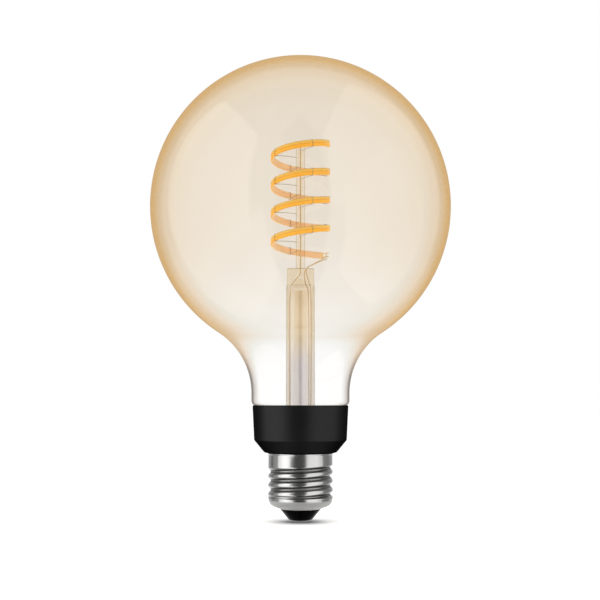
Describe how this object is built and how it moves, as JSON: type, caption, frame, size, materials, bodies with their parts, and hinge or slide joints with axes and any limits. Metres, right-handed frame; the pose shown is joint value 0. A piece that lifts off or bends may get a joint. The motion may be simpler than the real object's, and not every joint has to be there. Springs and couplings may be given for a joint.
{
  "type": "smart light bulb",
  "caption": "Large globe filament lamp with a coiled light strip on a glass post, a black collar with a hidden radio driver, and a metal screw cap.",
  "frame": {"origin": "lowest point of the centre contact, on the lamp's axis", "axes": "+Z along the lamp's axis from the cap to the globe; -Y is the front, and +X is to the right"},
  "size_m": [0.125, 0.125, 0.1923],
  "materials": {
    "amber_glass": "clear blown glass with an amber coating that fades out at the neck",
    "clear_glass": "clear drawn glass tube",
    "strip_metal": "thin flexible strip",
    "warm_phosphor": "silicone loaded with orange phosphor",
    "cool_phosphor": "silicone loaded with yellow phosphor",
    "back_coat": "thin silicone coat",
    "chip_ceramic": "small ceramic chips",
    "lead_metal": "fine drawn wire",
    "cement": "matte bonding cement",
    "black_plastic": "fine matte moulded plastic",
    "circuit_board": "glass-epoxy board with solder mask",
    "radio_board": "glass-epoxy board with solder mask",
    "black_epoxy": "moulded epoxy package",
    "ferrite": "pressed ferrite",
    "copper_wire": "enamelled winding",
    "yellow_plastic": "moulded box",
    "resistor_lacquer": "lacquered ceramic body",
    "blue_lacquer": "dipped lacquer",
    "capacitor_can": "drawn can",
    "capacitor_sleeve": "shrink sleeve",
    "tinned_steel": "tinned sheet",
    "red_insulation": "wire insulation",
    "blue_insulation": "wire insulation",
    "nickel_shell": "satin nickel-plated formed sheet",
    "black_vitrite": "glossy black moulding",
    "contact_metal": "dull stamped metal"
  },
  "bodies": {
    "root": {"glass_globe": "amber_glass", "stem_tube": "clear_glass", "exhaust_tube": "clear_glass", "centre_post": "clear_glass", "filament_strip": "strip_metal", "warm_phosphor_track": "warm_phosphor", "cool_phosphor_track": "cool_phosphor", "filament_back_coat": "back_coat", "warm_led_chips": "chip_ceramic", "cool_led_chips": "chip_ceramic", "filament_top_tab": "lead_metal", "filament_bottom_tabs": "lead_metal", "support_hooks": "lead_metal", "common_lead": "lead_metal", "warm_lead": "lead_metal", "cool_lead": "lead_metal", "neck_cement": "cement", "collar_housing": "black_plastic", "driver_board": "circuit_board", "bridge_rectifier": "black_epoxy", "inductor_core": "ferrite", "inductor_winding": "copper_wire", "film_capacitor": "yellow_plastic", "fuse_resistor": "resistor_lacquer", "surge_varistor": "blue_lacquer", "driver_chip": "black_epoxy", "output_mosfets": "black_epoxy", "chip_resistors": "black_epoxy", "bulk_capacitor": "capacitor_can", "capacitor_sleeve": "capacitor_sleeve", "board_header": "black_epoxy", "control_board": "radio_board", "radio_chip": "black_epoxy", "radio_shield_can": "tinned_steel", "chip_antenna": "chip_ceramic", "timing_crystal": "tinned_steel", "live_wire": "red_insulation", "neutral_wire": "blue_insulation", "cap_shell": "nickel_shell", "cap_insulator": "black_vitrite", "centre_contact": "contact_metal"}
  },
  "joints": []
}
